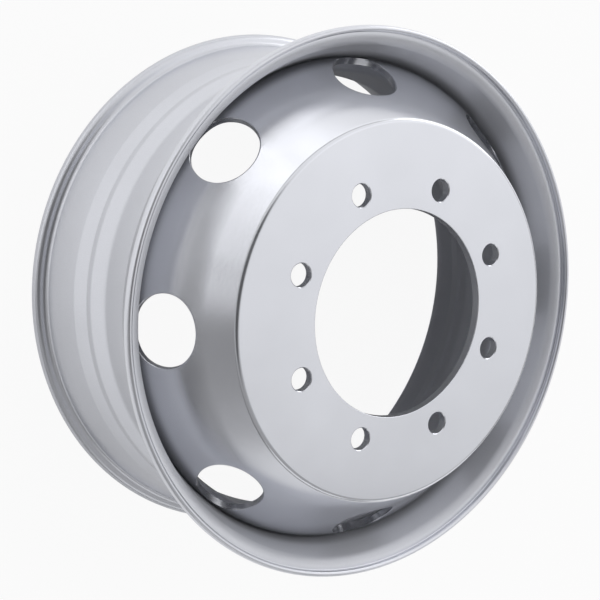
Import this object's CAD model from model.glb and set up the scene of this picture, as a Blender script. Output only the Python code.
import bpy
import math
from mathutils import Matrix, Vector


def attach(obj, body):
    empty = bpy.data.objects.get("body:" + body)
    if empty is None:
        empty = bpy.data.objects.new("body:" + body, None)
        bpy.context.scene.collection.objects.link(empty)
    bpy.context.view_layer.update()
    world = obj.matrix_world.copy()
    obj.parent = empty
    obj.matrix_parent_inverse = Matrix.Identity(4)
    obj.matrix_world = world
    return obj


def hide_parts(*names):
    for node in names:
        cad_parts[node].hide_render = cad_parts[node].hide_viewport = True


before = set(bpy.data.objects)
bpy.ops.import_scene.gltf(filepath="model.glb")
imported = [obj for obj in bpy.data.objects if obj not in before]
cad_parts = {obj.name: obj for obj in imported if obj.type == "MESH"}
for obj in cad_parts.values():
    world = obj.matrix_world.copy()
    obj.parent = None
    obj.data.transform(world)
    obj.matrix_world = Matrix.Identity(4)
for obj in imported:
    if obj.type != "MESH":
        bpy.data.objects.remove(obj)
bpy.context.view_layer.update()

# Rim
# The rolled steel rim that carries the tyre: two curled flanges, two sloped bead seats and the well.
# Sprayed with silver paint, which has fine metal flake, a faint orange peel and drier patches.


def spray_spots(tree, place, scale, detail):
    """Soft random spots over the piece, by which the paint varies."""
    spots = tree.nodes.new("ShaderNodeTexNoise")
    spots.inputs["Scale"].default_value = scale
    spots.inputs["Detail"].default_value = detail
    tree.links.new(place.outputs["Object"], spots.inputs["Vector"])
    return spots.outputs["Fac"]


def gradual(tree, value, start, end, low, high, kind="SMOOTHSTEP"):
    """Goes from low to high while the value goes from start to end."""
    change = tree.nodes.new("ShaderNodeMapRange")
    change.interpolation_type = kind
    change.inputs["From Min"].default_value = start
    change.inputs["From Max"].default_value = end
    change.inputs["To Min"].default_value = low
    change.inputs["To Max"].default_value = high
    tree.links.new(value, change.inputs["Value"])
    return change.outputs["Result"]


def combined(tree, operation, *terms):
    """Two or three terms worked into one. A term is a number or another node's result."""
    node = tree.nodes.new("ShaderNodeMath")
    node.operation = operation
    for socket, term in zip(node.inputs, terms):
        if isinstance(term, float):
            socket.default_value = term
        else:
            tree.links.new(term, socket)
    return node.outputs["Value"]


def silver_paint(name, colour, metal, gloss_low, gloss_high, peel, dry_spray):
    """The wheel's sprayed silver. Dry spray is how much duller it is inside the rim's front."""
    paint = bpy.data.materials.new(name)
    paint.use_nodes = True
    tree = paint.node_tree
    nodes = tree.nodes
    links = tree.links
    shader = nodes["Principled BSDF"]
    shader.inputs["Metallic"].default_value = metal
    shader.inputs["IOR"].default_value = 1.5
    shader.inputs["Coat Weight"].default_value = 0.3
    shader.inputs["Coat Roughness"].default_value = 0.12
    place = nodes.new("ShaderNodeTexCoord")

    # Flake: each fleck is a little lighter or darker than the paint round it
    blend = nodes.new("ShaderNodeMix")
    blend.data_type = "FLOAT"
    blend.inputs[0].default_value = 0.55
    links.new(spray_spots(tree, place, 1400.0, 1.0), blend.inputs[2])
    links.new(spray_spots(tree, place, 7.0, 3.0), blend.inputs[3])
    tint = nodes.new("ShaderNodeValToRGB")
    darkest, lightest = tint.color_ramp.elements
    darkest.position = 0.36
    darkest.color = [0.94 * part for part in colour] + [1.0]
    lightest.position = 0.64
    lightest.color = [1.03 * part for part in colour] + [1.0]
    links.new(blend.outputs[0], tint.inputs["Fac"])

    # Distance from the wheel's axis, and height
    split = nodes.new("ShaderNodeSeparateXYZ")
    links.new(place.outputs["Object"], split.inputs["Vector"])
    height = split.outputs["Z"]
    flat = nodes.new("ShaderNodeCombineXYZ")
    links.new(split.outputs["X"], flat.inputs["X"])
    links.new(split.outputs["Y"], flat.inputs["Y"])
    reach = nodes.new("ShaderNodeVectorMath")
    reach.operation = "LENGTH"
    links.new(flat.outputs["Vector"], reach.inputs[0])

    # Corner: the spray lies thin and dust gathers where the disc's edge meets the rim
    spot = nodes.new("ShaderNodeCombineXYZ")
    links.new(reach.outputs["Value"], spot.inputs["X"])
    links.new(height, spot.inputs["Z"])
    corner = nodes.new("ShaderNodeVectorMath")
    corner.operation = "DISTANCE"
    corner.inputs[1].default_value = (0.266, 0.0, 0.186)
    links.new(spot.outputs["Vector"], corner.inputs[0])
    coat = nodes.new("ShaderNodeVectorMath")
    coat.operation = "SCALE"
    links.new(tint.outputs["Color"], coat.inputs[0])
    links.new(gradual(tree, corner.outputs["Value"], 0.003, 0.018, 0.6, 1.0), coat.inputs["Scale"])
    links.new(coat.outputs["Vector"], shader.inputs["Base Color"])

    # Gloss: the spray lies thicker in some places than in others
    mist = spray_spots(tree, place, 22.0, 4.0)
    gloss = gradual(tree, mist, 0.3, 0.7, gloss_low, gloss_high, "LINEAR")
    links.new(gloss, shader.inputs["Roughness"])

    # Dry spray: inside the rim's front, mist from the gun settles and leaves the paint duller
    if dry_spray > 0.0:
        in_front = gradual(tree, height, 0.16, 0.185, 0.0, dry_spray)
        inside = gradual(tree, reach.outputs["Value"], 0.284, 0.291, 1.0, 0.0)
        dry = combined(tree, "MULTIPLY", in_front, inside)
        links.new(combined(tree, "SUBTRACT", metal, dry), shader.inputs["Metallic"])
        links.new(combined(tree, "MULTIPLY_ADD", dry, 0.35, gloss), shader.inputs["Roughness"])

    # Orange peel of the sprayed coat
    bump = nodes.new("ShaderNodeBump")
    bump.inputs["Strength"].default_value = peel
    bump.inputs["Distance"].default_value = 0.0003
    links.new(spray_spots(tree, place, 260.0, 2.0), bump.inputs["Height"])
    links.new(bump.outputs["Normal"], shader.inputs["Normal"])
    return paint


def take_up(piece):
    """Selects this piece alone, for the next operators to work on."""
    bpy.ops.object.select_all(action="DESELECT")
    bpy.context.view_layer.objects.active = piece
    piece.select_set(True)


def turned_sheet(name, radius, height, heading, steps):
    """Draws a section from one point, as a sheet is rolled, and turns it round the wheel's axis.

    Sizes are in millimetres and angles in degrees. A run has a length. A bend has a radius, a turn
    and a number of parts.
    """
    bpy.ops.object.select_all(action="DESELECT")
    bpy.ops.mesh.primitive_plane_add(size=0.01, location=(0.0, 0.0, 0.0))
    piece = bpy.context.object
    piece.name = name
    piece.data.name = name
    bpy.ops.object.mode_set(mode="EDIT")
    bpy.ops.mesh.select_mode(type="VERT")
    bpy.ops.mesh.select_all(action="SELECT")
    bpy.ops.mesh.merge(type="CENTER")
    bpy.ops.transform.translate(value=(radius / 1000, 0.0, height / 1000))
    for kind, size, *bend in steps:
        way = math.radians(heading)
        if kind == "run":
            across = size * math.cos(way)
            up = size * math.sin(way)
            bpy.ops.mesh.extrude_region_move(
                TRANSFORM_OT_translate={"value": (across / 1000, 0.0, up / 1000)}
            )
            radius = radius + across
            height = height + up
        else:
            turn, parts = bend
            side = math.copysign(1.0, turn)
            middle_radius = radius - side * size * math.sin(way)
            middle_height = height + side * size * math.cos(way)
            bpy.ops.mesh.spin(
                steps=parts,
                angle=math.radians(abs(turn)),
                center=(middle_radius / 1000, 0.0, middle_height / 1000),
                axis=(0.0, side, 0.0),
            )
            heading = heading + turn
            way = math.radians(heading)
            radius = middle_radius + side * size * math.sin(way)
            height = middle_height - side * size * math.cos(way)
    bpy.ops.mesh.select_all(action="SELECT")
    bpy.ops.mesh.remove_doubles(threshold=0.0001)
    bpy.ops.mesh.spin(
        steps=192, angle=2 * math.pi, center=(0.0, 0.0, 0.0), axis=(0.0, 0.0, 1.0), use_auto_merge=True
    )
    bpy.ops.mesh.select_all(action="SELECT")
    bpy.ops.mesh.remove_doubles(threshold=0.00002)
    bpy.ops.mesh.normals_make_consistent(inside=False)
    bpy.ops.object.mode_set(mode="OBJECT")
    return piece


def punch(piece, tool):
    """Takes the tool's shape out of the piece and puts the tool away."""
    take_up(piece)
    hole = piece.modifiers.new("hole", "BOOLEAN")
    hole.operation = "DIFFERENCE"
    hole.solver = "EXACT"
    hole.object = tool
    bpy.ops.object.modifier_apply(modifier="hole")
    bpy.data.objects.remove(tool)


def smooth_sheet(piece):
    """Smooth shading that keeps flat faces flat and breaks at real edges."""
    take_up(piece)
    bpy.ops.object.shade_smooth_by_angle(angle=math.radians(32.0))
    even = piece.modifiers.new("even", "WEIGHTED_NORMAL")
    even.keep_sharp = True
    even.weight = 80
    bpy.ops.object.modifier_apply(modifier="even")


# The middle of the rolled strip, from the front lip's end to the back lip's end
rim = turned_sheet("rolled_rim", 292.943, 235.128, -54.98, [
    ("run", 2.95),  # front lip
    ("bend", 4.5, -125.02, 16),
    ("bend", 9.777, 75.0, 9),
    ("run", 43.81),  # front bead seat
    ("bend", 11.0, -30.28, 4),
    ("run", 12.77),  # wall of the well
    ("bend", 11.0, 45.27, 6),
    ("run", 47.63),  # floor of the well
    ("bend", 21.0, 22.51, 3),
    ("run", 14.92),  # slope behind the well
    ("bend", 11.0, -16.80, 3),
    ("run", 4.84),  # ledge
    ("bend", 11.0, 16.09, 3),
    ("run", 16.35),  # step
    ("bend", 11.0, -6.79, 3),
    ("run", 41.59),  # back bead seat
    ("bend", 9.777, 75.0, 9),
    ("bend", 4.5, -125.02, 16),
    ("run", 2.95),  # back lip
])

# The strip is 6 mm thick, with round lip ends
strip = rim.modifiers.new("strip", "SOLIDIFY")
strip.thickness = 0.006
strip.offset = 0.0
strip.use_even_offset = True
bpy.ops.object.modifier_apply(modifier="strip")
lip_ends = rim.modifiers.new("lip_ends", "BEVEL")
lip_ends.width = 0.0028
lip_ends.segments = 6
lip_ends.limit_method = "ANGLE"
lip_ends.angle_limit = math.radians(60.0)
lip_ends.use_clamp_overlap = False
bpy.ops.object.modifier_apply(modifier="lip_ends")

# The valve hole goes through the floor of the well
bpy.ops.object.select_all(action="DESELECT")
bpy.ops.mesh.primitive_cylinder_add(
    vertices=48, radius=0.008, depth=0.04, location=(0.255, 0.0, 0.135631), rotation=(0.0, math.pi / 2, 0.0)
)
punch(rim, bpy.context.object)
smooth_sheet(rim)

silver = (0.735, 0.748, 0.80)
rim.data.materials.append(silver_paint("rim_paint", silver, 0.75, 0.28, 0.34, 0.06, 0.5))
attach(rim, "root")
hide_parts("rim")

# Disc
# The pressed steel bowl with its flat mounting face, centre bore, stud holes and hand holes.
# Welded into the rim by its edge, and sprayed with the same silver paint.

# Its outward side from the bore to the edge, and its back from the edge to the bore
disc = turned_sheet("pressed_disc", 111.3, 274.852, 0.0, [
    ("run", 87.67),  # mounting face
    ("bend", 6.0, -56.68, 7),
    ("run", 29.92),  # flank
    ("bend", 250.0, 6.74, 2),
    ("run", 35.63),
    ("bend", 27.5, -40.06, 4),
    ("run", 0.67),
    ("bend", 0.8, -90.0, 4),
    ("run", 5.9),  # edge, inside the rim
    ("bend", 0.8, -90.0, 4),
    ("run", 0.43),
    ("bend", 20.0, 41.29, 4),
    ("run", 36.38),  # back of the flank
    ("bend", 258.75, -6.30, 2),
    ("run", 27.21),
    ("bend", 3.0, 55.01, 7),
    ("run", 83.95),  # back of the mounting face
    ("bend", 0.8, -90.0, 4),
    ("run", 8.4),  # bore
    ("bend", 0.8, -90.0, 4),
])

# Hand holes, punched square to the flank
hole_reach = 0.247422
hole_height = 0.212352
flank_lean = math.atan2(0.765362, 0.6436)
for number in range(8):
    turn = number * math.pi / 4
    bpy.ops.object.select_all(action="DESELECT")
    bpy.ops.mesh.primitive_cylinder_add(vertices=94, radius=0.0375, depth=0.06, location=(0.0, 0.0, 0.0))
    tool = bpy.context.object
    tool.scale = (66.0 / 75.0, 1.0, 1.0)
    tool.rotation_euler = (0.0, flank_lean, turn)
    tool.location = (hole_reach * math.cos(turn), hole_reach * math.sin(turn), hole_height)
    punch(disc, tool)

# The punch leaves their outward edges rounded: those that lie above the middle of the sheet
middle_of_sheet = -0.0035
take_up(disc)
bpy.ops.object.mode_set(mode="EDIT")
bpy.ops.mesh.select_mode(type="EDGE")
bpy.ops.mesh.select_all(action="DESELECT")
bpy.ops.mesh.edges_select_sharp(sharpness=math.radians(45.0))
bpy.ops.object.mode_set(mode="OBJECT")
for edge in disc.data.edges:
    ends = [disc.data.vertices[corner].co for corner in edge.vertices]
    middle = (ends[0] + ends[1]) / 2
    reach = math.hypot(middle.x, middle.y)
    outwards = (reach - hole_reach) * math.sin(flank_lean)
    upwards = (middle.z - hole_height) * math.cos(flank_lean)
    edge.select = edge.select and 0.2 < reach < 0.265 and outwards + upwards > middle_of_sheet
bpy.ops.object.mode_set(mode="EDIT")

# Points too close together are merged, in a fixed order so that each run gives the same edge
bpy.context.scene.cursor.location = (0.1, 0.2, 0.9)
bpy.ops.mesh.sort_elements(type="CURSOR_DISTANCE", elements={"VERT", "EDGE", "FACE"})
bpy.ops.mesh.remove_doubles(threshold=0.00025)
bpy.ops.mesh.bevel(offset=0.0015, segments=3, affect="EDGES", clamp_overlap=False)
bpy.ops.object.mode_set(mode="OBJECT")

# Stud holes, each midway between two hand holes, with their edges broken
stud_reach = 0.1375
for number in range(8):
    turn = (number + 0.5) * math.pi / 4
    bpy.ops.object.select_all(action="DESELECT")
    bpy.ops.mesh.primitive_cylinder_add(
        vertices=48,
        radius=0.012,
        depth=0.0084,
        location=(stud_reach * math.cos(turn), stud_reach * math.sin(turn), 0.269852),
    )
    tool = bpy.context.object
    bpy.ops.object.mode_set(mode="EDIT")
    bpy.ops.mesh.select_mode(type="FACE")
    for side in (1.0, -1.0):
        bpy.ops.mesh.select_all(action="DESELECT")
        bpy.ops.object.mode_set(mode="OBJECT")
        for face in tool.data.polygons:
            face.select = face.normal.z * side > 0.9
        bpy.ops.object.mode_set(mode="EDIT")
        bpy.ops.mesh.extrude_region_move(TRANSFORM_OT_translate={"value": (0.0, 0.0, 0.0012 * side)})
        bpy.ops.transform.resize(value=(1.1, 1.1, 1.0))
    bpy.ops.object.mode_set(mode="OBJECT")
    punch(disc, tool)

smooth_sheet(disc)
disc.data.materials.append(silver_paint("disc_paint", silver, 0.85, 0.18, 0.24, 0.08, 0.0))
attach(disc, "root")
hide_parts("disc")

# Weld
# The bead of weld steel that joins the disc's edge to the inside of the rim.
# It keeps the CAD's own shape, and is painted over with the rest.
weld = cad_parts["rim_weld"]
weld.data.materials.clear()
weld.data.materials.append(silver_paint("weld_paint", silver, 0.6, 0.30, 0.42, 0.3, 0.0))

# Floor
# A plain white studio floor, on which the wheel lies flat on its back flange.
# The camera sees it near white. Paint that mirrors it sees it dim where the wheel shades it.


def grey_steps(tree, value, steps):
    """Grey levels at set values, with an even change between them."""
    ramp = tree.nodes.new("ShaderNodeValToRGB")
    while len(ramp.color_ramp.elements) < len(steps):
        ramp.color_ramp.elements.new(0.5)
    for stop, (position, level) in zip(ramp.color_ramp.elements, steps):
        stop.position = position
        stop.color = (level, level, level, 1.0)
    tree.links.new(value, ramp.inputs["Fac"])
    return ramp.outputs["Color"]


bpy.ops.object.select_all(action="DESELECT")
bpy.ops.mesh.primitive_plane_add(size=8.0, location=(0.0, 0.0, 0.0))
floor = bpy.context.object
floor.name = "studio_floor"
floor_finish = bpy.data.materials.new("studio_white")
floor_finish.use_nodes = True
floor_tree = floor_finish.node_tree
floor_nodes = floor_tree.nodes
floor_links = floor_tree.links
matt = floor_nodes["Principled BSDF"]
matt.inputs["Base Color"].default_value = (0.8, 0.8, 0.8, 1.0)
matt.inputs["Roughness"].default_value = 0.9
glow = floor_nodes.new("ShaderNodeEmission")
glow.inputs["Color"].default_value = (1.0, 1.0, 1.0, 1.0)
glow.inputs["Strength"].default_value = 1.0

# What is mirrored gets brighter away from the wheel, and on the side of the picture's top
floor_place = floor_nodes.new("ShaderNodeTexCoord")
floor_reach = floor_nodes.new("ShaderNodeVectorMath")
floor_reach.operation = "LENGTH"
floor_links.new(floor_place.outputs["Object"], floor_reach.inputs[0])
shade_steps = [(0.272, 0.02), (0.3, 0.42), (0.35, 0.42), (0.43, 0.85), (0.5, 1.0)]
shade = grey_steps(floor_tree, floor_reach.outputs["Value"], shade_steps)
floor_split = floor_nodes.new("ShaderNodeSeparateXYZ")
floor_links.new(floor_place.outputs["Object"], floor_split.inputs["Vector"])
lit_side = gradual(floor_tree, floor_split.outputs["Y"], -0.3, 0.25, 0.75, 1.6, "LINEAR")
mirrored = combined(floor_tree, "MULTIPLY", shade, lit_side)
mirrored.node.use_clamp = True

# The glow's share for each kind of ray
rays = floor_nodes.new("ShaderNodeLightPath")
seen = combined(floor_tree, "MAXIMUM", rays.outputs["Is Camera Ray"], rays.outputs["Is Transmission Ray"])
seen_share = combined(floor_tree, "MULTIPLY", seen, 0.93)
mirrored_share = combined(floor_tree, "MULTIPLY", rays.outputs["Is Glossy Ray"], mirrored)
share = combined(floor_tree, "MAXIMUM", seen_share, mirrored_share)
white = floor_nodes.new("ShaderNodeMixShader")
floor_links.new(share, white.inputs["Fac"])
floor_links.new(matt.outputs["BSDF"], white.inputs[1])
floor_links.new(glow.outputs["Emission"], white.inputs[2])
floor_links.new(white.outputs["Shader"], floor_nodes["Material Output"].inputs["Surface"])
floor.data.materials.append(floor_finish)

# World
# A pale room: a bright band along the ground, a darker one over it, and light walls above.
# It is lighter towards the top of the picture than towards the bottom.
world = bpy.data.worlds.new("studio_room")
world.use_nodes = True
bpy.context.scene.world = world
room_tree = world.node_tree
room_nodes = room_tree.nodes
room_links = room_tree.links
facing = room_nodes.new("ShaderNodeTexCoord")
room_split = room_nodes.new("ShaderNodeSeparateXYZ")
room_links.new(facing.outputs["Generated"], room_split.inputs["Vector"])
room_height = room_split.outputs["Z"]
room_side = room_split.outputs["Y"]
ground_band = combined(
    room_tree,
    "MULTIPLY",
    grey_steps(room_tree, room_height, [(0.0, 1.0), (0.1, 1.0), (0.18, 0.0)]),
    gradual(room_tree, room_side, -0.1, 0.13, 0.36, 1.55, "LINEAR"),
)
walls = combined(
    room_tree,
    "MULTIPLY",
    grey_steps(room_tree, room_height, [(0.1, 0.0), (0.18, 0.3), (0.29, 0.3), (0.42, 0.92), (1.0, 0.9)]),
    gradual(room_tree, room_side, -0.55, 0.3, 0.4, 1.14, "LINEAR"),
)
room_light = combined(room_tree, "ADD", ground_band, walls)

# Where the camera stands, the ceiling has a dark opening
aim = room_nodes.new("ShaderNodeVectorMath")
aim.operation = "DOT_PRODUCT"
aim.inputs[1].default_value = (-0.46, 0.12, 0.88)
room_links.new(facing.outputs["Generated"], aim.inputs[0])
opening = gradual(room_tree, aim.outputs["Value"], 0.78, 0.93, 1.0, 0.05)
open_light = combined(room_tree, "MULTIPLY", room_light, opening)

# The camera itself sees a white backdrop over the floor
room_rays = room_nodes.new("ShaderNodeLightPath")
backdrop = room_nodes.new("ShaderNodeMix")
backdrop.data_type = "FLOAT"
backdrop.inputs[3].default_value = 0.97
room_links.new(room_rays.outputs["Is Camera Ray"], backdrop.inputs[0])
room_links.new(open_light, backdrop.inputs[2])
room_links.new(backdrop.outputs[0], room_nodes["Background"].inputs["Strength"])
room_nodes["Background"].inputs["Color"].default_value = (1.0, 1.0, 1.0, 1.0)

# Lamps
# Soft boxes on stands round the wheel, each turned by its bearing from the picture's right.
# Their brightness adds to that of the room behind them.


def soft_box(name, bearing, lift, distance, width, height, brightness):
    lamp = bpy.data.lights.new(name, "AREA")
    lamp.shape = "RECTANGLE"
    lamp.size = width
    lamp.size_y = height
    lamp.energy = brightness * math.pi * width * height
    box = bpy.data.objects.new(name, lamp)
    bpy.context.scene.collection.objects.link(box)
    level = distance * math.cos(math.radians(lift))
    out = Vector((
        level * math.cos(math.radians(bearing)),
        level * math.sin(math.radians(bearing)),
        distance * math.sin(math.radians(lift)),
    ))
    box.location = Vector((0.0, 0.0, 0.15)) + out
    box.rotation_euler = out.to_track_quat("Z", "Y").to_euler()


soft_box("top_left_box", 132.0, 8.0, 3.0, 2.8, 0.6, 0.25)
soft_box("bottom_box", -90.0, 24.0, 2.6, 1.8, 0.9, 0.7)
soft_box("top_right_box", 36.0, 15.0, 2.6, 1.6, 1.2, 1.6)
soft_box("bottom_right_box", -50.0, 15.0, 2.6, 1.3, 1.0, 0.9)
soft_box("right_overhead_box", 0.0, 52.0, 2.6, 2.2, 2.0, 0.3)

# Camera
# Looks down on the wheel from the angle at which the photograph was taken.
lens = bpy.data.cameras.new("photo_camera")
lens.sensor_width = 36.0
lens.lens = 70.25
camera = bpy.data.objects.new("photo_camera", lens)
camera.location = (-0.7742, 0.2264, 1.2093)
camera.rotation_euler = (math.radians(-9.735), math.radians(-34.674), math.radians(-0.292))
bpy.context.scene.collection.objects.link(camera)
bpy.context.scene.camera = camera

bpy.context.scene.view_settings.view_transform = "Standard"
